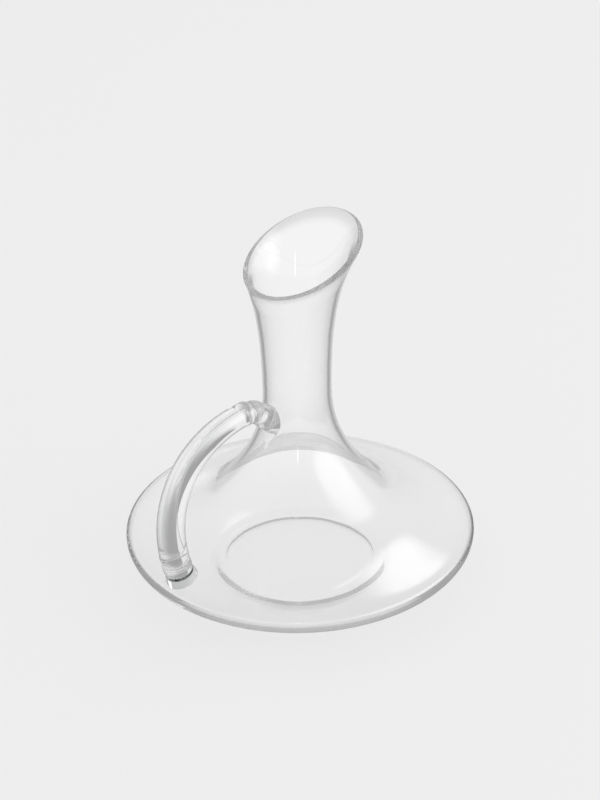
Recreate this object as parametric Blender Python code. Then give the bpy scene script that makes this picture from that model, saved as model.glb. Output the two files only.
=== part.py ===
"""Handled wine decanter, blown from clear glass.

The vessel is one blown piece: a wide flat bowl, a waisted neck and a slanted, fire-polished
lip. A solid glass rod makes the handle. It is welded to the neck by a leaf-shaped bit of hot
glass and to the bowl's shoulder by a short collar with a pad under it.

Frame: metres, +Z up, origin on the table under the middle of the base. The handle and the low
side of the lip point to -X, so the pouring side, where the lip is highest, points to +X.
"""
import math

import bmesh
import bpy
from mathutils import Matrix, Vector

# Vessel outline, outer surface, from the resting ring up to above the lip. Each knot holds
# radius, height, direction of travel (degrees, 90 is straight up), and how far the curve
# reaches back towards the knot before it and on towards the next one.
FOOT_RADIUS = 0.050
BOWL_RADIUS = 0.1075
BOWL_HEIGHT = 0.026
NECK_RADIUS = 0.0208
NECK_HEIGHT = 0.1234
OUTLINE = [
    (FOOT_RADIUS, 0.0, 23, 0.0, 0.027),
    (BOWL_RADIUS, BOWL_HEIGHT, 90, 0.015, 0.010),
    (0.052, 0.0548, 132, 0.030, 0.016),
    (NECK_RADIUS, NECK_HEIGHT, 90, 0.034, 0.070),
    (0.050, 0.2397, 62, 0.0366, 0.0),
]
STEPS = [6, 8, 6, 7]            # points along each stretch of the outline

FOOT_WIDTH = 0.004              # flat of the resting ring
PUNT_HEIGHT = 0.0025            # the base is pushed up this far in its middle
BASE_THICKNESS = 0.0040
WALL = 0.0025
LIP_THICKNESS = 0.0034
LIP_HEIGHT = 0.2081             # middle of the slanted lip
LIP_SLOPE = 0.42                # rise of the lip's plane towards +X
LIP_SQUARENESS = 3.4            # 2 is a half round lip, more is flatter
LIP_CROWN = 0.0012              # rise of the lip's middle above its two edges

# Handle, in the plane of the lip's slope: distance from the axis and height of its two ends,
# and the reach of the single curve between them.
HANDLE_TOP = (0.0056, 0.1168)
HANDLE_TOP_REACH = (0.0677, 0.0242)
HANDLE_FOOT = (0.0969, 0.0356)
HANDLE_FOOT_REACH = (0.0225, 0.0625)
ROD_RADIUS_TOP = 0.0070
ROD_RADIUS_FOOT = 0.0088
ROD_START, ROD_END = 0.175, 0.935   # the rod's own stretch of that curve

# Neck bit, a strap from the rod's end to a tip down the neck: distance from the axis, height,
# half width, half depth, and how far it strays to +Y.
STRAP = [
    (0.0396, 0.1236, 0.0061, 0.0061, 0.0),
    (0.0374, 0.1229, 0.0068, 0.0068, 0.0),
    (0.0345, 0.1214, 0.0071, 0.0071, 0.0),
    (0.0318, 0.1195, 0.0068, 0.0067, 0.0),
    (0.0288, 0.1172, 0.0075, 0.0074, 0.0),
    (0.0250, 0.1138, 0.0079, 0.0074, 0.0),
    (0.0226, 0.1090, 0.0074, 0.0060, -0.0003),
    (0.0220, 0.1060, 0.0069, 0.0046, 0.0002),
    (0.0219, 0.1030, 0.0063, 0.0032, 0.0008),
    (0.0227, 0.0975, 0.0048, 0.0026, 0.0010),
    (0.0245, 0.0935, 0.0032, 0.0021, 0.0008),
    (0.0264, 0.0906, 0.0012, 0.0011, 0.0003),
]
PAD_HALF_WIDTH = 0.0106         # shoulder pad, across and along the handle's plane
PAD_HALF_DEPTH = 0.0100

GAP = 0.0003                    # left between pieces that touch
SEGMENTS = 64                   # round the vessel
ROD_SEGMENTS = 24               # round the handle


def remove_everything():
    for obj in list(bpy.data.objects):
        bpy.data.objects.remove(obj, do_unlink=True)


def clear_glass(name, colour):
    material = bpy.data.materials.new(name)
    material.use_nodes = True
    shader = material.node_tree.nodes["Principled BSDF"]
    shader.inputs["Base Color"].default_value = (*colour, 1.0)
    shader.inputs["Roughness"].default_value = 0.0
    shader.inputs["Metallic"].default_value = 0.0
    shader.inputs["IOR"].default_value = 1.52
    shader.inputs["Transmission Weight"].default_value = 1.0
    return material


def new_object(name, bm, material):
    bmesh.ops.recalc_face_normals(bm, faces=bm.faces)
    mesh = bpy.data.meshes.new(name)
    bm.to_mesh(mesh)
    bm.free()
    mesh.shade_smooth()
    mesh.set_sharp_from_angle(angle=math.radians(40))
    mesh.materials.append(material)
    obj = bpy.data.objects.new(name, mesh)
    bpy.context.collection.objects.link(obj)
    return obj


def guide(obj):
    """Marks a shape that only cuts or joins another one."""
    obj.hide_render = True
    obj.display_type = "WIRE"
    return obj


def boolean(obj, operation, other):
    modifier = obj.modifiers.new(other.name, "BOOLEAN")
    modifier.operation = operation
    modifier.solver = "EXACT"
    modifier.object = other


# ---- the turned outline

def heading(degrees):
    return Vector((math.cos(math.radians(degrees)), math.sin(math.radians(degrees))))


def cubic(knot, following):
    """Control points of the curve between two knots of the outline."""
    start, end = Vector(knot[:2]), Vector(following[:2])
    return [start, start + heading(knot[2]) * knot[4],
            end - heading(following[2]) * following[3], end]


def on_curve(points, t):
    """Point and unit tangent of a cubic curve at t."""
    while len(points) > 2:
        points = [a.lerp(b, t) for a, b in zip(points, points[1:])]
    return points[0].lerp(points[1], t), (points[1] - points[0]).normalized()


def outward(tangent):
    return Vector((tangent.y, -tangent.x))


CURVES = [cubic(a, b) for a, b in zip(OUTLINE, OUTLINE[1:])]


def lip_position(angle):
    """Where along the last curve the slanted plane of the lip meets it, at this angle."""
    low, high = 0.0, 1.0
    for _ in range(40):
        middle = (low + high) / 2
        point, _tangent = on_curve(CURVES[-1], middle)
        below = point.y < LIP_HEIGHT + LIP_SLOPE * math.cos(angle) * point.x
        low, high = (middle, high) if below else (low, middle)
    return low


def outer_samples(angle):
    """(point, tangent, wall thickness) up the outside, ending at the lip."""
    samples = []
    for curve, steps in zip(CURVES, STEPS):
        last = curve is CURVES[-1]
        reach = lip_position(angle) if last else 1.0
        for i in range(steps + (1 if last else 0)):
            point, tangent = on_curve(curve, reach * i / steps)
            near_lip = max(0.0, (i / steps - 0.6) / 0.4) if last else 0.0
            samples.append((point, tangent, WALL + (LIP_THICKNESS - WALL) * near_lip ** 2))
    return samples


def lip_corner(turn):
    """Half of a rounded square, from one face of the wall to the other."""
    across, along = math.cos(turn), math.sin(turn)
    power = 2 / LIP_SQUARENESS
    return math.copysign(abs(across) ** power, across), abs(along) ** power


def vessel_section(angle):
    """Closed wall section from the axis under the base, over the lip, to the axis inside."""
    foot_inner = Vector((FOOT_RADIUS - FOOT_WIDTH, 0.0))
    punt = [Vector((0, PUNT_HEIGHT)), Vector((0.030, PUNT_HEIGHT)),
            foot_inner + heading(150) * 0.0030, foot_inner]
    section = [on_curve(punt, i / 6)[0] for i in range(7)]

    samples = outer_samples(angle)
    section += [point for point, _tangent, _wall in samples]

    point, tangent, wall = samples[-1]
    side = outward(tangent)
    middle = point - side * wall / 2
    for i in range(1, 8):
        across, along = lip_corner(math.pi * i / 8)
        section.append(middle + side * (across * wall / 2) + tangent * (along * LIP_CROWN))

    inside = [point - outward(tangent) * wall for point, tangent, wall in samples[1:]]
    section += reversed(inside)

    start, tangent = inside[0], samples[1][1]
    floor_height = PUNT_HEIGHT + BASE_THICKNESS
    floor = [start, start - tangent * 0.005, Vector((0.036, floor_height)),
             Vector((0, floor_height))]
    section += [on_curve(floor, i / 6)[0] for i in range(1, 7)]
    return section


def envelope_section(_angle):
    """The space the vessel fills, and everything inside it, with the clearance added."""
    wall = [point + outward(tangent) * GAP for point, tangent, _wall in outer_samples(math.pi)]
    return [Vector((0, wall[0].y)), *wall, Vector((0, wall[-1].y))]


def turned(name, section, material):
    """Solid turned about Z, whose section may change with the angle."""
    bm = bmesh.new()
    columns = []
    for i in range(SEGMENTS):
        angle = 2 * math.pi * i / SEGMENTS
        spin = Matrix.Rotation(angle, 3, "Z")
        points = section(angle)
        columns.append([spin @ Vector((point.x, 0, point.y)) for point in points])
    bottom, top = bm.verts.new(columns[0][0]), bm.verts.new(columns[0][-1])
    columns = [[bm.verts.new(point) for point in column[1:-1]] for column in columns]
    for near, far in zip(columns, columns[1:] + columns[:1]):
        bm.faces.new((bottom, far[0], near[0]))
        bm.faces.new((top, near[-1], far[-1]))
        for i in range(len(near) - 1):
            bm.faces.new((near[i], far[i], far[i + 1], near[i + 1]))
    return new_object(name, bm, material)


# ---- the handle and its welds, all drawn in the plane y = 0

def handle_curve():
    top, foot = Vector(HANDLE_TOP), Vector(HANDLE_FOOT)
    return [top, top + Vector(HANDLE_TOP_REACH), foot + Vector(HANDLE_FOOT_REACH), foot]


def rod_station(t, scale=1.0):
    """Ring across the handle's curve at t: centre, tangent, half width, half depth, and how
    far it lies to +Y."""
    centre, tangent = on_curve(handle_curve(), t)
    radius = ROD_RADIUS_TOP + (ROD_RADIUS_FOOT - ROD_RADIUS_TOP) * t
    return centre, tangent, radius * scale, radius * scale, 0.0


def lofted(name, stations, material):
    """Solid through elliptical rings whose centres are given as distance from Z and height."""
    bm = bmesh.new()
    rings = []
    for centre, tangent, half_width, half_depth, aside in stations:
        side = outward(tangent)
        ring = []
        for i in range(ROD_SEGMENTS):
            turn = 2 * math.pi * i / ROD_SEGMENTS
            flat = centre + side * half_depth * math.sin(turn)
            ring.append(bm.verts.new((-flat.x, aside + half_width * math.cos(turn), flat.y)))
        rings.append(ring)
    for near, far in zip(rings, rings[1:]):
        for i in range(ROD_SEGMENTS):
            bm.faces.new((near[i - 1], near[i], far[i], far[i - 1]))
    bm.faces.new(rings[0])
    bm.faces.new(rings[-1])
    return new_object(name, bm, material)


def rod():
    count = 26
    stations = []
    for i in range(count + 1):
        t = ROD_START + (ROD_END - ROD_START) * i / count
        # both ends draw in a little where they meet the hot glass
        end = min(i, count - i)
        stations.append(rod_station(t, {0: 0.93, 1: 0.985}.get(end, 1.0)))
    return lofted("handle", stations, clear_glass("handle_glass", (0.97, 0.985, 0.98)))


def splined(knots, steps):
    """Points on a smooth curve through rows of numbers (Catmull-Rom)."""
    knots = [knots[0] * 2 - knots[1], *knots, knots[-1] * 2 - knots[-2]]
    points = []
    for a, b, c, d in zip(knots, knots[1:], knots[2:], knots[3:]):
        for i in range(steps):
            t = i / steps
            points.append((b * 2 + (c - a) * t + (a * 2 - b * 5 + c * 4 - d) * t ** 2
                           + (b * 3 - a - c * 3 + d) * t ** 3) / 2)
    return [*points, knots[-2]]


def neck_bit(envelope):
    """Rounded strap from the rod's end, which flows on down the neck as a leaf."""
    rows = splined([Vector(row) for row in STRAP], 3)
    stations = []
    for behind, row, ahead in zip([rows[0], *rows], rows, [*rows[1:], rows[-1]]):
        tangent = Vector((ahead[0] - behind[0], ahead[1] - behind[1])).normalized()
        stations.append((Vector((row[0], row[1])), tangent, row[2], row[3], row[4]))
    strap = lofted("neck_bit", stations, clear_glass("neck_bit_glass", (0.97, 0.985, 0.98)))

    curve_length = sum((on_curve(handle_curve(), i / 50)[0]
                        - on_curve(handle_curve(), (i + 1) / 50)[0]).length for i in range(50))
    start = ROD_START - GAP * 1.25 / curve_length
    beyond = [rod_station(start + t, 1.6) for t in (0.0, 0.03, 0.06)]
    rod_end = guide(lofted("rod_end_guide", beyond, strap.data.materials[0]))
    boolean(strap, "DIFFERENCE", rod_end)
    boolean(strap, "DIFFERENCE", envelope)
    return strap


def shoulder_bit(envelope):
    """Collar at the foot of the rod, spreading into a pad on the bowl."""
    material = clear_glass("shoulder_bit_glass", (0.95, 0.98, 0.965))
    start = ROD_END + GAP * 1.25 / 0.115
    stations = [rod_station(start, 0.955), rod_station(start + 0.008, 1.03),
                rod_station(start + 0.028, 1.03), rod_station(start + 0.044, 0.965),
                rod_station(start + 0.050, 0.965)]
    for t, size in ((0.997, 0.90), (1.012, 0.97), (1.035, 1.02), (1.065, 1.03)):
        centre, tangent = on_curve(handle_curve(), t)
        stations.append((centre, tangent, PAD_HALF_WIDTH * size, PAD_HALF_DEPTH * size, 0.0))
    pad = lofted("shoulder_bit", stations, material)
    boolean(pad, "DIFFERENCE", envelope)
    return pad


def build():
    remove_everything()
    glass = clear_glass("vessel_glass", (0.98, 0.99, 0.985))
    turned("vessel", vessel_section, glass)
    envelope = guide(turned("vessel_envelope", envelope_section, glass))
    rod()
    neck_bit(envelope)
    shoulder_bit(envelope)


build()
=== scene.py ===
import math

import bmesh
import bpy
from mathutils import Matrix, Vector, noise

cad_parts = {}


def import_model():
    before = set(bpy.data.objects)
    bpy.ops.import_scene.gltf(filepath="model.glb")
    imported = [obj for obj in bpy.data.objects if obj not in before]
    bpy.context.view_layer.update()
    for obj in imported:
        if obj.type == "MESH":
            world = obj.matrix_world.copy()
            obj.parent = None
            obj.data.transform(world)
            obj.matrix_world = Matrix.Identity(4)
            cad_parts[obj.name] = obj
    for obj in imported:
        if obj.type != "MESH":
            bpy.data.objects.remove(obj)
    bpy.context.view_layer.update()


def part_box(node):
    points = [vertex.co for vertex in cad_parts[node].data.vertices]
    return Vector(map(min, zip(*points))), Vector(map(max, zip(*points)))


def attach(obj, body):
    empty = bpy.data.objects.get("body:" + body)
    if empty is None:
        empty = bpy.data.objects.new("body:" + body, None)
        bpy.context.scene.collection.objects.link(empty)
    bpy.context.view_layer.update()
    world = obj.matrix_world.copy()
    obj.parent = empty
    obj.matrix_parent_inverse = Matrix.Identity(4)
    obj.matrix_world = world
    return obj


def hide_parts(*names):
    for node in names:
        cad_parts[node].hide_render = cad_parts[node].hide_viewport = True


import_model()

# Looks of the handled wine decanter: clear blown glass on a plain pale floor.
#
# The vessel, the rod and its two welds are made finer here than in the CAD, from the same
# outline. They are joined into one skin, as the fused glass is, and cut apart again along
# the welds, so each piece keeps its name and no surface is left inside the glass.
# Metres, +Z up; the handle points to -X.

# ---- the CAD's driving dimensions: radius, height, heading, reach back, reach on
BOWL_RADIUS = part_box("vessel")[1].y
OUTLINE = [
    (0.050, 0.0, 23, 0.0, 0.027),
    (BOWL_RADIUS, 0.026, 90, 0.015, 0.010),
    (0.052, 0.0548, 132, 0.030, 0.016),
    (0.0208, 0.1234, 90, 0.034, 0.070),
    (0.050, 0.2397, 62, 0.0366, 0.0),
]
FOOT_WIDTH = 0.004
PUNT_HEIGHT = 0.0025
BASE_THICKNESS = 0.0040
WALL = 0.0025
LIP_THICKNESS = 0.0034
LIP_HEIGHT, LIP_SLOPE = 0.2081, 0.42

HANDLE_TOP, HANDLE_TOP_REACH = (0.0056, 0.1168), (0.0677, 0.0242)
HANDLE_FOOT, HANDLE_FOOT_REACH = (0.0969, 0.0356), (0.0225, 0.0625)
ROD_RADIUS_TOP, ROD_RADIUS_FOOT = 0.0070, 0.0088
ROD_START, ROD_END = 0.175, 0.935

# weld at the neck, from the rod's end to the tip of its leaf: distance from Z, height,
# half width, half depth, off the mirror plane
STRAP = [
    (0.0389, 0.1234, 0.0061, 0.0061, 0.0),
    (0.0374, 0.1229, 0.0068, 0.0068, 0.0),
    (0.0345, 0.1214, 0.0071, 0.0071, 0.0),
    (0.0318, 0.1195, 0.0068, 0.0067, 0.0),
    (0.0288, 0.1172, 0.0075, 0.0074, 0.0),
    (0.0250, 0.1138, 0.0079, 0.0074, 0.0),
    (0.0226, 0.1090, 0.0074, 0.0060, -0.0003),
    (0.0220, 0.1060, 0.0069, 0.0046, 0.0002),
    (0.0219, 0.1030, 0.0063, 0.0032, 0.0008),
    (0.0227, 0.0975, 0.0048, 0.0026, 0.0010),
    (0.0245, 0.0935, 0.0032, 0.0021, 0.0008),
    (0.0264, 0.0906, 0.0012, 0.0011, 0.0003),
]

# ---- finish of the glass
WAVINESS = 0.00012          # how far the inside of a blown wall wanders
FOOT_WANDER = 0.0012        # how far the foot ring is from a true circle
LIP_SQUARENESS = 3.4        # 2 is a half-round lip, more is a flat one with soft corners
LIP_CROWN = 0.0012          # rise of the lip's middle above its edges
LIP_ROUGHNESS = 0.16
LIP_PAINTED_SHADE = 0.78             # painted shade: the lip's colour is a little darker than the rest, so it shows as a grey band
LIP_FADE = 0.0004           # height over which the lip's roughness and painted shade end
SINK = 0.0010               # how deep the welds run into the wall
SEGMENTS = 192
STEPS = (30, 40, 36, 44)
# per piece: tint, strength of the ripples, and the painted edge shade, the share of the tint kept
# where the glass is seen edge on, so that its outlines show darker
GLASS = {
    "vessel": ((1.0, 1.0, 1.0), 0.02, 0.32),
    "handle": ((0.98, 0.985, 0.983), 0.08, 0.12),
    "neck_bit": ((0.98, 0.985, 0.983), 0.30, 0.25),
    "shoulder_bit": ((0.97, 0.985, 0.978), 0.20, 0.40),
}
# over the curve of the handle, past the rod's foot: the collar's and the pad's size, as a
# share of the rod's
COLLAR_AND_PAD = [
    (0.0, 0.95), (0.010, 1.02), (0.030, 1.02), (0.042, 0.97), (0.050, 0.97),
    (0.060, 1.04), (0.074, 1.10), (0.092, 1.12), (0.13, 1.06),
]

# ---- the photograph's viewpoint
CAMERA_AZIMUTH = -42.5      # degrees, 0 looks along +Y
CAMERA_ELEVATION = 30.0
CAMERA_DISTANCE = 1.45
CAMERA_ROLL = 1.2
CAMERA_AIM = (0.0016, 0.1157)   # to the right of the axis, and height
LENS = 108.5


# ---- outline

def heading(degrees):
    return Vector((math.cos(math.radians(degrees)), math.sin(math.radians(degrees))))


def cubic(knot, following):
    start, end = Vector(knot[:2]), Vector(following[:2])
    return [start, start + heading(knot[2]) * knot[4],
            end - heading(following[2]) * following[3], end]


def on_curve(points, t):
    while len(points) > 2:
        points = [a.lerp(b, t) for a, b in zip(points, points[1:])]
    return points[0].lerp(points[1], t), (points[1] - points[0]).normalized()


def outward(tangent):
    return Vector((tangent.y, -tangent.x))


def smoothstep(x):
    x = min(1.0, max(0.0, x))
    return x * x * (3 - 2 * x)


CURVES = [cubic(a, b) for a, b in zip(OUTLINE, OUTLINE[1:])]


def lip_position(angle):
    low, high = 0.0, 1.0
    for _ in range(40):
        middle = (low + high) / 2
        point = on_curve(CURVES[-1], middle)[0]
        below = point.y < LIP_HEIGHT + LIP_SLOPE * math.cos(angle) * point.x
        low, high = (middle, high) if below else (low, middle)
    return low


def wall_at(point, angle, near_lip):
    """Wall thickness, a little uneven as blown glass is."""
    place = Vector((point.x * math.cos(angle), point.x * math.sin(angle), point.y))
    wander = noise.noise(place * 28) + 0.5 * noise.noise(place * 61)
    return WALL + (LIP_THICKNESS - WALL) * near_lip + WAVINESS * wander * (1 - near_lip)


def outer_samples(angle):
    samples = []
    for curve, steps in zip(CURVES, STEPS):
        last = curve is CURVES[-1]
        reach = lip_position(angle) if last else 1.0
        for i in range(steps + (1 if last else 0)):
            point, tangent = on_curve(curve, reach * i / steps)
            near_lip = smoothstep((i / steps - 0.75) / 0.25) if last else 0.0
            samples.append((point, tangent, wall_at(point, angle, near_lip)))
    return samples


def lip_corner(turn):
    """Half of a rounded square, from one face of the wall to the other."""
    across, along = math.cos(turn), math.sin(turn)
    power = 2 / LIP_SQUARENESS
    return math.copysign(abs(across) ** power, across), abs(along) ** power


def vessel_section(angle):
    round_trip = Vector((math.cos(angle), math.sin(angle), 0.4))
    wander = FOOT_WANDER * (noise.noise(round_trip * 1.3) + 0.5 * noise.noise(round_trip * 3.1))
    ring = Vector((OUTLINE[0][0] - FOOT_WIDTH + wander, 0.0))
    punt = [Vector((0, PUNT_HEIGHT)), Vector((0.030, PUNT_HEIGHT)),
            ring + heading(150) * 0.0030, ring]
    section = [on_curve(punt, i / 40)[0] for i in range(41)]

    samples = outer_samples(angle)
    section += [point for point, _tangent, _wall in samples]

    point, tangent, wall = samples[-1]
    side = outward(tangent)
    middle = point - side * wall / 2
    for i in range(1, 20):
        across, along = lip_corner(math.pi * i / 20)
        section.append(middle + side * (across * wall / 2) + tangent * (along * LIP_CROWN))

    first = 3
    inside = [point - outward(tangent) * wall for point, tangent, wall in samples[first:]]
    section += reversed(inside)

    start, tangent = inside[0], samples[first][1]
    floor_height = PUNT_HEIGHT + BASE_THICKNESS
    floor = [start, start - tangent * 0.005, Vector((0.036, floor_height)),
             Vector((0, floor_height))]
    section += [on_curve(floor, i / 40)[0] for i in range(1, 41)]
    return section


# ---- meshes

def mesh_object(name, bm, material):
    bmesh.ops.recalc_face_normals(bm, faces=bm.faces)
    mesh = bpy.data.meshes.new(name)
    bm.to_mesh(mesh)
    bm.free()
    mesh.materials.append(material)
    mesh.shade_smooth()
    obj = bpy.data.objects.new(name, mesh)
    bpy.context.scene.collection.objects.link(obj)
    return obj


def turned(name, section, material):
    bm = bmesh.new()
    columns = []
    for i in range(SEGMENTS):
        angle = 2 * math.pi * i / SEGMENTS
        spin = Matrix.Rotation(angle, 3, "Z")
        columns.append([spin @ Vector((point.x, 0, point.y)) for point in section(angle)])
    bottom, top = bm.verts.new(columns[0][0]), bm.verts.new(columns[0][-1])
    columns = [[bm.verts.new(point) for point in column[1:-1]] for column in columns]
    for near, far in zip(columns, columns[1:] + columns[:1]):
        bm.faces.new((bottom, far[0], near[0]))
        bm.faces.new((top, near[-1], far[-1]))
        for i in range(len(near) - 1):
            bm.faces.new((near[i], far[i], far[i + 1], near[i + 1]))
    return mesh_object(name, bm, material)


def lofted(name, stations, material, segments=64):
    """Solid through elliptical rings, their centres given as distance from Z and height."""
    bm = bmesh.new()
    rings = []
    for centre, tangent, half_width, half_depth, aside in stations:
        side = outward(tangent)
        ring = []
        for i in range(segments):
            turn = 2 * math.pi * i / segments
            flat = centre + side * half_depth * math.sin(turn)
            ring.append(bm.verts.new((-flat.x, aside + half_width * math.cos(turn), flat.y)))
        rings.append(ring)
    for near, far in zip(rings, rings[1:]):
        for i in range(segments):
            bm.faces.new((near[i - 1], near[i], far[i], far[i - 1]))
    bm.faces.new(rings[0])
    bm.faces.new(rings[-1])
    return mesh_object(name, bm, material)


def eased(table, x):
    """Value at x of a smooth curve through (x, value) pairs."""
    for (x0, v0), (x1, v1) in zip(table, table[1:]):
        if x <= x1:
            return v0 + (v1 - v0) * smoothstep((x - x0) / (x1 - x0))
    return table[-1][1]


def apply_modifiers(obj):
    evaluated = obj.evaluated_get(bpy.context.evaluated_depsgraph_get())
    mesh = bpy.data.meshes.new_from_object(evaluated)
    obj.modifiers.clear()
    old, obj.data = obj.data, mesh
    bpy.data.meshes.remove(old)


def melted(obj, voxel, rounds):
    """Softens the edges of a solid, as hot glass flows."""
    material = obj.data.materials[0]
    remesh = obj.modifiers.new("Melt", "REMESH")
    remesh.mode, remesh.voxel_size = "VOXEL", voxel
    smooth = obj.modifiers.new("Flow", "SMOOTH")
    smooth.factor, smooth.iterations = 0.5, rounds
    apply_modifiers(obj)
    obj.data.materials.clear()
    obj.data.materials.append(material)
    obj.data.shade_smooth()
    return obj


def handle_curve():
    top, foot = Vector(HANDLE_TOP), Vector(HANDLE_FOOT)
    return [top, top + Vector(HANDLE_TOP_REACH), foot + Vector(HANDLE_FOOT_REACH), foot]


def rod_station(t, scale=1.0):
    centre, tangent = on_curve(handle_curve(), t)
    radius = ROD_RADIUS_TOP + (ROD_RADIUS_FOOT - ROD_RADIUS_TOP) * t
    return centre, tangent, radius * scale, radius * scale, 0.0


def rod(material):
    """Drawn rod: slightly uneven, drawing in where it meets each weld."""
    ends = [(0.0, 0.86), (0.004, 0.90), (0.010, 0.99), (0.020, 1.03), (0.040, 1.0)]
    count = 150
    stations = []
    for i in range(count + 1):
        t = ROD_START - 0.004 + (ROD_END - ROD_START + 0.008) * i / count
        from_end = min(t - ROD_START, ROD_END - t)
        uneven = 1 + 0.012 * noise.noise(Vector((t * 6, 0.3, 0.7)))
        stations.append(rod_station(t, eased(ends, max(0.0, from_end)) * uneven))
    return lofted("handle_skin", stations, material)


def splined(knots, steps):
    """Points on a smooth curve through rows of numbers (Catmull-Rom)."""
    knots = [Vector(row) for row in knots]
    knots = [knots[0] * 2 - knots[1], *knots, knots[-1] * 2 - knots[-2]]
    points = []
    for a, b, c, d in zip(knots, knots[1:], knots[2:], knots[3:]):
        for i in range(steps):
            t = i / steps
            points.append((b * 2 + (c - a) * t + (a * 2 - b * 5 + c * 4 - d) * t ** 2
                           + (b * 3 - a - c * 3 + d) * t ** 3) / 2)
    return [*points, knots[-2]]


def neck_weld(material):
    """Rounded strap from the rod's end, which flows on down the neck as a leaf."""
    rows = splined(STRAP, 8)
    stations = []
    for i, row in enumerate(rows):
        ahead, behind = rows[min(i + 1, len(rows) - 1)], rows[max(i - 1, 0)]
        tangent = Vector((ahead[0] - behind[0], ahead[1] - behind[1])).normalized()
        stations.append((Vector((row[0], row[1])), tangent, row[2], row[3], row[4]))
    return lofted("neck_bit_skin", stations, material)


def shoulder_weld(material):
    """Short collar under the rod's foot, and the pad it stands on."""
    count = 40
    stations = []
    for i in range(count + 1):
        t = COLLAR_AND_PAD[-1][0] * i / count
        stations.append(rod_station(ROD_END + t, eased(COLLAR_AND_PAD, t)))
    return melted(lofted("shoulder_bit_skin", stations, material), 0.0004, 3)


def core(material):
    """What the welds mustn't fill: the inside of the vessel, and a little of its wall."""
    def section(_angle):
        wall = [point - outward(tangent) * SINK for point, tangent, _w in outer_samples(math.pi)]
        return [Vector((0, wall[0].y)), *wall, Vector((0, wall[-1].y))]
    return turned("core", section, material)


def boolean(obj, operation, other):
    modifier = obj.modifiers.new(other.name, "BOOLEAN")
    modifier.operation = operation
    modifier.solver = "EXACT"
    modifier.material_mode = "TRANSFER"
    modifier.object = other


def fused(glass):
    """Joins the pieces into one skin and returns one object per piece, cut at the welds."""
    inner = core(glass["vessel"])
    neck, shoulder = neck_weld(glass["neck_bit"]), shoulder_weld(glass["shoulder_bit"])
    for weld in (neck, shoulder):
        boolean(weld, "DIFFERENCE", inner)
        apply_modifiers(weld)
        weld.data.materials.clear()
        weld.data.materials.append(glass[weld.name.replace("_skin", "")])
        weld.data.polygons.foreach_set("material_index", [0] * len(weld.data.polygons))
    whole = turned("vessel_skin", vessel_section, glass["vessel"])
    handle = rod(glass["handle"])
    for other in (neck, shoulder, handle):
        boolean(whole, "UNION", other)
    apply_modifiers(whole)
    for other in (inner, neck, shoulder, handle):
        bpy.data.objects.remove(other)

    names = [material.name for material in whole.data.materials]
    pieces = {}
    for node, material in glass.items():
        bm = bmesh.new()
        bm.from_mesh(whole.data)
        keep = names.index(material.name)
        others = [face for face in bm.faces if face.material_index != keep]
        bmesh.ops.delete(bm, geom=others, context="FACES")
        for face in bm.faces:
            face.material_index = 0
            face.smooth = True
        mesh = bpy.data.meshes.new(node + "_glass")
        bm.to_mesh(mesh)
        bm.free()
        mesh.materials.append(material)
        mesh.set_sharp_from_angle(angle=math.radians(42))
        piece = bpy.data.objects.new(node + "_glass", mesh)
        bpy.context.scene.collection.objects.link(piece)
        pieces[node] = piece
    bpy.data.objects.remove(whole)
    return pieces


# ---- materials

def on_the_lip(nodes, links, place):
    """1 on the lip, which was ground and then only softened by the flame, and 0 below it; it
    gives the lip its roughness and its painted shade.
    """
    above = nodes.new("ShaderNodeVectorMath")
    above.operation = "DOT_PRODUCT"
    above.inputs[1].default_value = (-LIP_SLOPE, 0, 1)
    links.new(place, above.inputs[0])
    height = math_node(nodes, links, "SUBTRACT", above.outputs["Value"], LIP_HEIGHT - 0.5)
    return ramp(nodes, links, height, [(0.5 - LIP_FADE, 0.0), (0.5, 1.0)])


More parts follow.
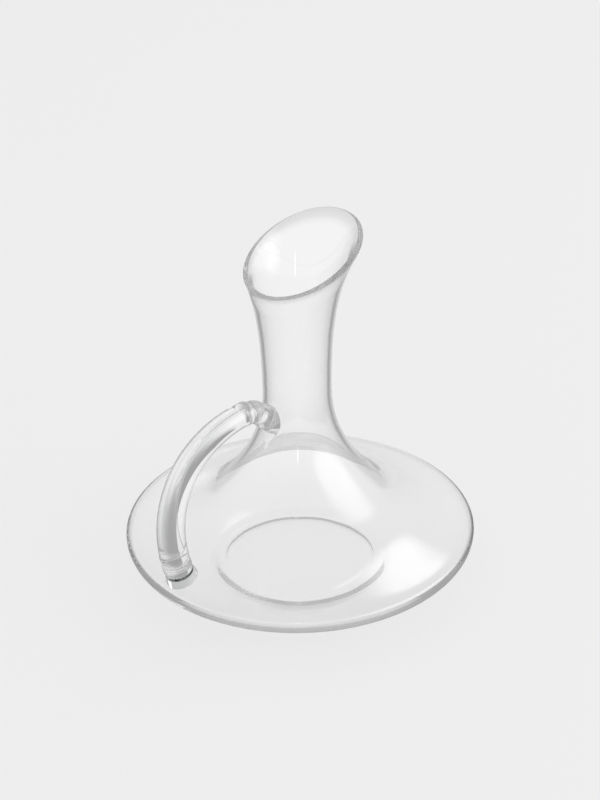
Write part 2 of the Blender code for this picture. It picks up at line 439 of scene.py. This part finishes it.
def clear_glass(node, lip):
    """Clear glass. Lamps shine through it softly, so its shadow stays as light as glass's is."""
    tint, ripple, painted_edge_shade = GLASS[node]
    material = bpy.data.materials.new(node + "_glass")
    material.use_nodes = True
    nodes, links = material.node_tree.nodes, material.node_tree.links
    shader = nodes["Principled BSDF"]
    shader.inputs["IOR"].default_value = 1.5
    shader.inputs["Transmission Weight"].default_value = 1.0
    shader.inputs["Roughness"].default_value = 0.0

    # painted shade: the colour darkens towards the outlines, where the glass is seen edge on
    slant = nodes.new("ShaderNodeLayerWeight")
    slant.inputs["Blend"].default_value = 0.5
    steep = nodes.new("ShaderNodeMath")
    steep.operation = "POWER"
    steep.inputs[1].default_value = 3.5
    links.new(slant.outputs["Facing"], steep.inputs[0])
    edge_shaded_tint = nodes.new("ShaderNodeMix")
    edge_shaded_tint.data_type = "RGBA"
    edge_shaded_tint.inputs[6].default_value = (*tint, 1)
    edge_shaded_tint.inputs[7].default_value = (*(painted_edge_shade * channel for channel in tint), 1)
    links.new(steep.outputs[0], edge_shaded_tint.inputs[0])
    links.new(edge_shaded_tint.outputs[2], shader.inputs["Base Color"])

    place = nodes.new("ShaderNodeTexCoord")
    grain = nodes.new("ShaderNodeTexNoise")
    grain.inputs["Scale"].default_value = 55
    grain.inputs["Detail"].default_value = 1.5
    links.new(place.outputs["Object"], grain.inputs["Vector"])
    if lip:
        ground = on_the_lip(nodes, links, place.outputs["Object"])
        links.new(math_node(nodes, links, "MULTIPLY", ground, LIP_ROUGHNESS),
                  shader.inputs["Roughness"])
        # painted shade on the lip: its colour is darkened there
        links.new(either(nodes, links, ground, edge_shaded_tint.outputs[2], LIP_PAINTED_SHADE),
                  shader.inputs["Base Color"])
    bump = nodes.new("ShaderNodeBump")
    bump.inputs["Strength"].default_value = ripple
    bump.inputs["Distance"].default_value = 0.0006
    links.new(grain.outputs["Fac"], bump.inputs["Height"])
    links.new(bump.outputs["Normal"], shader.inputs["Normal"])

    light_path = nodes.new("ShaderNodeLightPath")
    through = nodes.new("ShaderNodeBsdfTransparent")
    shade = nodes.new("ShaderNodeMix")
    shade.data_type = "RGBA"
    shade.inputs[6].default_value = (0.985, 0.985, 0.985, 1)
    shade.inputs[7].default_value = (0.6, 0.6, 0.6, 1)
    links.new(slant.outputs["Facing"], shade.inputs[0])
    links.new(shade.outputs[2], through.inputs["Color"])
    both = nodes.new("ShaderNodeMath")
    both.operation = "MAXIMUM"
    links.new(light_path.outputs["Is Shadow Ray"], both.inputs[0])
    links.new(light_path.outputs["Is Diffuse Ray"], both.inputs[1])
    mix = nodes.new("ShaderNodeMixShader")
    links.new(both.outputs[0], mix.inputs[0])
    links.new(shader.outputs[0], mix.inputs[1])
    links.new(through.outputs[0], mix.inputs[2])
    links.new(mix.outputs[0], nodes["Material Output"].inputs["Surface"])
    return material


def math_node(nodes, links, operation, *values):
    """Output of a math node, whose values are numbers or other outputs."""
    node = nodes.new("ShaderNodeMath")
    node.operation = operation
    for value, socket in zip(values, node.inputs):
        if isinstance(value, (int, float)):
            socket.default_value = value
        else:
            links.new(value, socket)
    return node.outputs[0]


def path_switches(nodes, links):
    """Four switches, each 1 or 0: seen directly, mirrored at least once in the glass, mirrored
    more than once, and seen through any number of walls but two."""
    path = nodes.new("ShaderNodeLightPath")
    two_walls = math_node(nodes, links, "COMPARE", path.outputs["Transmission Depth"], 4, 1.5)
    return (path.outputs["Is Camera Ray"],
            math_node(nodes, links, "GREATER_THAN", path.outputs["Glossy Depth"], 0.5),
            math_node(nodes, links, "GREATER_THAN", path.outputs["Glossy Depth"], 1.5),
            math_node(nodes, links, "SUBTRACT", 1, two_walls))


def either(nodes, links, switch, off, on):
    """Number or colour: `off`, or `on` where the switch is 1."""
    mix = nodes.new("ShaderNodeMix")
    mix.data_type = "RGBA"
    links.new(switch, mix.inputs[0])
    for value, socket in ((off, mix.inputs[6]), (on, mix.inputs[7])):
        if isinstance(value, float):
            socket.default_value = (value, value, value, 1)
        else:
            links.new(value, socket)
    return mix.outputs[2]


def floor_place(nodes, links, azimuth):
    """How far a floor point lies from the decanter's foot in that direction, and how near the
    direction of the point is to it, from 0 for opposite to 1 for the same."""
    place = nodes.new("ShaderNodeTexCoord")
    towards = nodes.new("ShaderNodeVectorMath")
    towards.operation = "NORMALIZE"
    links.new(place.outputs["Object"], towards.inputs[0])
    results = []
    for vector in (place.outputs["Object"], towards.outputs[0]):
        along = nodes.new("ShaderNodeVectorMath")
        along.operation = "DOT_PRODUCT"
        along.inputs[1].default_value = direction(azimuth, 0)
        links.new(vector, along.inputs[0])
        results.append(along.outputs["Value"])
    return results[0], math_node(nodes, links, "MULTIPLY_ADD", results[1], 0.5, 0.5)


def flags(nodes, links, behind):
    """1 on the two dark flags, which lie behind the decanter to the left and right."""
    aside = math_node(nodes, links, "ABSOLUTE", floor_place(nodes, links, 90)[0])
    inner = math_node(nodes, links, "MULTIPLY_ADD", behind, -FLAG_INNER[0], aside)
    outer = math_node(nodes, links, "MULTIPLY_ADD", behind, -FLAG_OUTER[0], aside)
    shade = ramp(nodes, links, inner, [(FLAG_INNER[1], 0.0), (FLAG_INNER[2], 1.0)])
    for limit in (math_node(nodes, links, "LESS_THAN", outer, FLAG_OUTER[1]),
                  math_node(nodes, links, "GREATER_THAN", behind, FLAG_START)):
        shade = math_node(nodes, links, "MULTIPLY", shade, limit)
    return shade


def floor_material():
    material = bpy.data.materials.new("floor")
    material.use_nodes = True
    nodes, links = material.node_tree.nodes, material.node_tree.links
    nodes.remove(nodes["Principled BSDF"])
    diffuse = nodes.new("ShaderNodeBsdfDiffuse")
    diffuse.inputs["Color"].default_value = (FLOOR_ALBEDO, FLOOR_ALBEDO, FLOOR_ALBEDO, 1)
    glow = nodes.new("ShaderNodeEmission")
    direct, mirrored, guided, not_two_walls = path_switches(nodes, links)
    behind, turned_behind = floor_place(nodes, links, 180)
    flag = math_node(nodes, links, "MULTIPLY", flags(nodes, links, behind), not_two_walls)
    through = either(nodes, links, flag, FLOOR_GLOW + REFRACTED - PALE, FLAG_LEVEL)
    mirror = either(nodes, links, guided, ramp(nodes, links, turned_behind, FLOOR_MIRRORED),
                    GUIDED)
    through = either(nodes, links, mirrored, through, mirror)
    links.new(either(nodes, links, direct, through, FLOOR_GLOW), glow.inputs["Color"])
    add = nodes.new("ShaderNodeAddShader")
    links.new(diffuse.outputs[0], add.inputs[0])
    links.new(glow.outputs[0], add.inputs[1])
    links.new(add.outputs[0], nodes["Material Output"].inputs["Surface"])
    return material


# ---- studio

PALE = 0.855                # what the lit floor shows the camera
REFRACTED = 0.92            # and what it shows through the glass
FLOOR_GLOW = 0.722
FLOOR_ALBEDO = 0.20
GUIDED = 0.45               # what is seen after several mirrorings, as along a wall
# Dark flags on the floor. Their edges lean away from the middle line by this much per metre
# behind the decanter, and start this far aside; the inner edge fades in up to the third number.
FLAG_INNER = (0.25, 0.0, 0.075)
FLAG_OUTER = (0.457, 0.100)
FLAG_START = -0.04          # metres behind the decanter's axis
FLAG_LEVEL = 0.22
# what the floor shows mirrored in the glass, from the camera's side to straight behind
FLOOR_MIRRORED = [(0.0, 0.40), (0.30, 0.24), (0.88, 0.24), (0.97, 0.70), (1.0, 0.70)]
# the room over the sine of the elevation: seen directly or through the glass, and mirrored
BACKDROP = [(0.0, 0.83), (0.24, 0.85), (0.45, 0.5), (1.0, 0.4)]
ROOM = [(0.0, 0.72), (0.35, 0.72), (0.80, 0.50), (1.0, 0.50)]


def floor():
    bm = bmesh.new()
    bmesh.ops.create_circle(bm, cap_ends=True, radius=60, segments=96)
    return mesh_object("floor", bm, floor_material())


def world():
    """Dim studio, as bright as the floor near the horizon, so that no horizon shows."""
    made = bpy.data.worlds.new("studio")
    bpy.context.scene.world = made
    made.use_nodes = True
    nodes, links = made.node_tree.nodes, made.node_tree.links
    place = nodes.new("ShaderNodeTexCoord")
    split = nodes.new("ShaderNodeSeparateXYZ")
    links.new(place.outputs["Generated"], split.inputs[0])
    backdrop = ramp(nodes, links, split.outputs["Z"], BACKDROP)
    room = ramp(nodes, links, split.outputs["Z"], ROOM)
    direct, mirrored, guided, _ = path_switches(nodes, links)
    room = either(nodes, links, guided, room, GUIDED)
    links.new(either(nodes, links, mirrored, backdrop, room), nodes["Background"].inputs["Color"])
    links.new(either(nodes, links, direct, REFRACTED / PALE, 1.0),
              nodes["Background"].inputs["Strength"])


def ramp(nodes, links, value, stops):
    """Grey that eases from level to level; the stops are (value, level)."""
    node = nodes.new("ShaderNodeValToRGB")
    node.color_ramp.interpolation = "EASE"
    while len(node.color_ramp.elements) < len(stops):
        node.color_ramp.elements.new(0.5)
    for element, (position, level) in zip(node.color_ramp.elements, stops):
        element.position = position
        element.color = (level, level, level, 1)
    links.new(value, node.inputs[0])
    return node.outputs[0]


def direction(azimuth, elevation):
    """Unit vector; azimuth 0 is the camera's own side, and it grows to the camera's right."""
    a = math.radians(CAMERA_AZIMUTH + azimuth)
    e = math.radians(elevation)
    return Vector((math.sin(a) * math.cos(e), -math.cos(a) * math.cos(e), math.sin(e)))


def soften(light):
    """Lets a softbox fade towards its border."""
    light.use_nodes = True
    nodes, links = light.node_tree.nodes, light.node_tree.links
    place = nodes.new("ShaderNodeNewGeometry")
    centred = nodes.new("ShaderNodeVectorMath")
    centred.operation = "SUBTRACT"
    centred.inputs[1].default_value = (0.5, 0.5, 0)
    links.new(place.outputs["Parametric"], centred.inputs[0])
    distance = nodes.new("ShaderNodeVectorMath")
    distance.operation = "LENGTH"
    links.new(centred.outputs[0], distance.inputs[0])
    fade = ramp(nodes, links, distance.outputs["Value"], [(0.18, 1.0), (0.5, 0.0)])
    links.new(fade, nodes["Emission"].inputs["Strength"])


def softbox(name, azimuth, elevation, distance, width, height, radiance):
    """Oval softbox facing the decanter, its width and height in degrees."""
    light = bpy.data.lights.new(name, "AREA")
    light.shape = "ELLIPSE"
    light.size, light.size_y = (2 * distance * math.tan(math.radians(angle / 2))
                                for angle in (width, height))
    light.energy = radiance * light.size * light.size_y * math.pi ** 2 / 4
    lamp = bpy.data.objects.new(name, light)
    bpy.context.scene.collection.objects.link(lamp)
    towards = direction(azimuth, elevation)
    lamp.location = Vector((0, 0, 0.1)) + towards * distance
    lamp.rotation_mode = "QUATERNION"
    lamp.rotation_quaternion = towards.to_track_quat("Z", "Y")
    lamp.visible_camera = False
    soften(light)


def camera():
    data = bpy.data.cameras.new("camera")
    data.lens, data.sensor_width = LENS, 36
    data.clip_start, data.clip_end = 0.05, 200
    eye = bpy.data.objects.new("camera", data)
    bpy.context.scene.collection.objects.link(eye)
    towards = direction(0, CAMERA_ELEVATION)
    right = Vector((0, 0, 1)).cross(towards).normalized()
    aim = right * CAMERA_AIM[0] + Vector((0, 0, CAMERA_AIM[1]))
    eye.location = aim + towards * CAMERA_DISTANCE
    roll = Matrix.Rotation(-math.radians(CAMERA_ROLL), 4, "Z")
    eye.rotation_mode = "QUATERNION"
    look = towards.to_track_quat("Z", "Y").to_matrix().to_4x4()
    eye.rotation_quaternion = (look @ roll).to_quaternion()
    bpy.context.scene.camera = eye


# ---- assembly

glass = {node: clear_glass(node, lip=node == "vessel") for node in GLASS}
for node, piece in fused(glass).items():
    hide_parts(node)
    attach(piece, "root")

ground = floor()
world()
softbox("right_softbox", 72, 19, 1.6, 88, 46, 1.6)
softbox("back_softbox", 143, 50, 1.6, 26, 30, 2.0)
softbox("strip", -2, 10, 1.6, 3.2, 16, 5.0)
camera()

scene = bpy.context.scene
scene.view_settings.view_transform = "Standard"
# light runs far along the walls before it comes out; with fewer bounces the rim turns black
scene.cycles.max_bounces = 128
scene.cycles.transmission_bounces = 128
scene.cycles.glossy_bounces = 128
scene.cycles.transparent_max_bounces = 32
